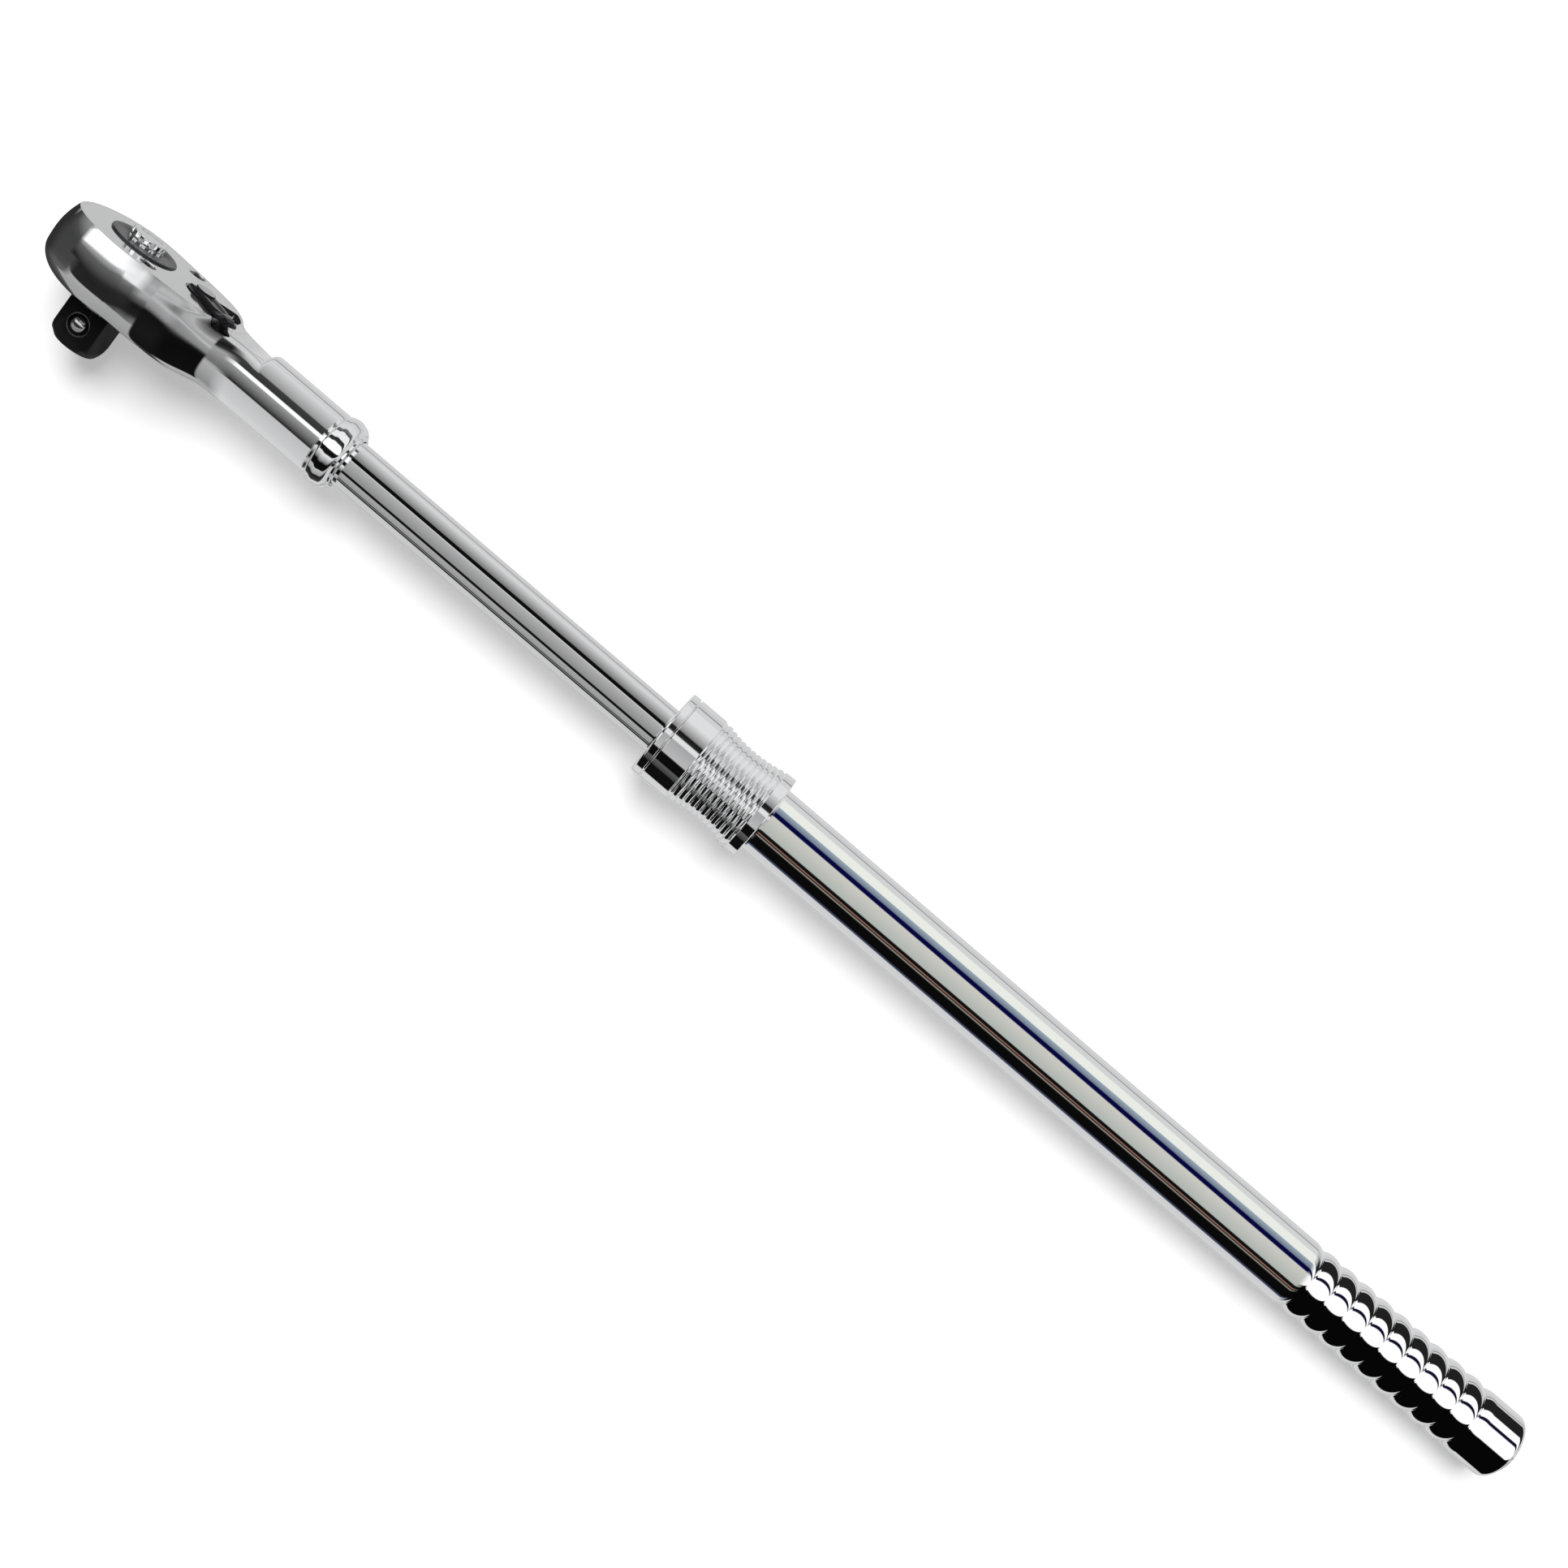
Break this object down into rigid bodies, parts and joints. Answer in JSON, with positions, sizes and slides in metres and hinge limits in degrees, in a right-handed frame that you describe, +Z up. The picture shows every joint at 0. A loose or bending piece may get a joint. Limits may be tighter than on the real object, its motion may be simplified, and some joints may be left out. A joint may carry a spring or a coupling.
{
  "type": "telescopic breaker bar",
  "caption": "Telescopic reversible breaker bar with a pear-shaped square-drive head, quick-release button, pull-back lock collar and beaded tube grip.",
  "frame": {"origin": "centre of the square drive's end face", "axes": "+Z up the drive axis towards the cover plate, +X from the drive axis along the handle to the grip, +Y across the head, away from the side the lever rests on"},
  "size_m": [0.7984, 0.0648, 0.0594],
  "materials": {
    "polished_chrome": "mirror-polished chrome plate",
    "black_oxide": "satin black oxide on machined steel",
    "black_lever": "semi-gloss black casting with a polished grey boss",
    "spring_steel": "bright drawn steel",
    "ball_steel": "ground bearing ball",
    "bronze": "turned bronze bush"
  },
  "bodies": {
    "head": {"head_body": "polished_chrome", "cover_plate": "polished_chrome", "cover_screw_near": "black_oxide", "cover_screw_far": "black_oxide", "thrust_washer": "spring_steel", "pawl_pin": "spring_steel", "inner_shaft": "polished_chrome", "shaft_pin": "spring_steel", "rear_guide": "bronze", "guide_screw": "spring_steel"},
    "drive": {"drive_spindle": "black_oxide", "button_spring": "spring_steel"},
    "button": {"release_button": "polished_chrome", "release_rod": "spring_steel"},
    "ball": {"socket_ball": "ball_steel"},
    "lever": {"reverse_lever": "black_lever", "pawl_plunger": "spring_steel", "pawl_spring": "spring_steel", "lever_clip": "spring_steel"},
    "pawl_body": {"pawl": "black_oxide"},
    "handle": {"handle_tube": "polished_chrome", "end_plug": "polished_chrome", "nose_bushing": "bronze", "nose_cap": "polished_chrome", "collar_spring": "spring_steel"},
    "collar": {"lock_collar": "polished_chrome"},
    "lock": {"lock_ball": "ball_steel"}
  },
  "joints": [
    {"name": "drive_spin", "type": "hinge", "parent": "head", "child": "drive", "pos_m": [0, 0, 0.0385], "axis": [0, 0, 1], "continuous": true},
    {"name": "button_press", "type": "slide", "parent": "drive", "child": "button", "axis": [0, 0, -1], "range_m": [0, 0.004], "deforming": ["button_spring"]},
    {"name": "ball_retract", "type": "slide", "parent": "drive", "child": "ball", "axis": [0, 1, 0], "range_m": [0, 0.002]},
    {"name": "lever_swing", "type": "hinge", "parent": "head", "child": "lever", "pos_m": [0.0315, 0, 0.0524], "axis": [0, 0, 1], "range_deg": [0, 70]},
    {"name": "pawl_rock", "type": "hinge", "parent": "head", "child": "pawl_body", "pos_m": [0.023, 0, 0.0385], "axis": [0, 0, 1], "range_deg": [0, 6]},
    {"name": "handle_extend", "type": "slide", "parent": "head", "child": "handle", "axis": [1, 0, 0], "range_m": [-0.168, 0.219]},
    {"name": "collar_pull", "type": "slide", "parent": "handle", "child": "collar", "axis": [1, 0, 0], "range_m": [0, 0.006], "deforming": ["collar_spring"]},
    {"name": "lock_lift", "type": "slide", "parent": "handle", "child": "lock", "axis": [0, 1, 0], "range_m": [0, 0.0015]}
  ],
  "couplings": [
    {"joint": "ball_retract", "follows": "button_press", "ratio": 0.5},
    {"joint": "pawl_rock", "follows": "lever_swing", "ratio": 0.085714},
    {"joint": "lock_lift", "follows": "collar_pull", "ratio": 0.25}
  ]
}
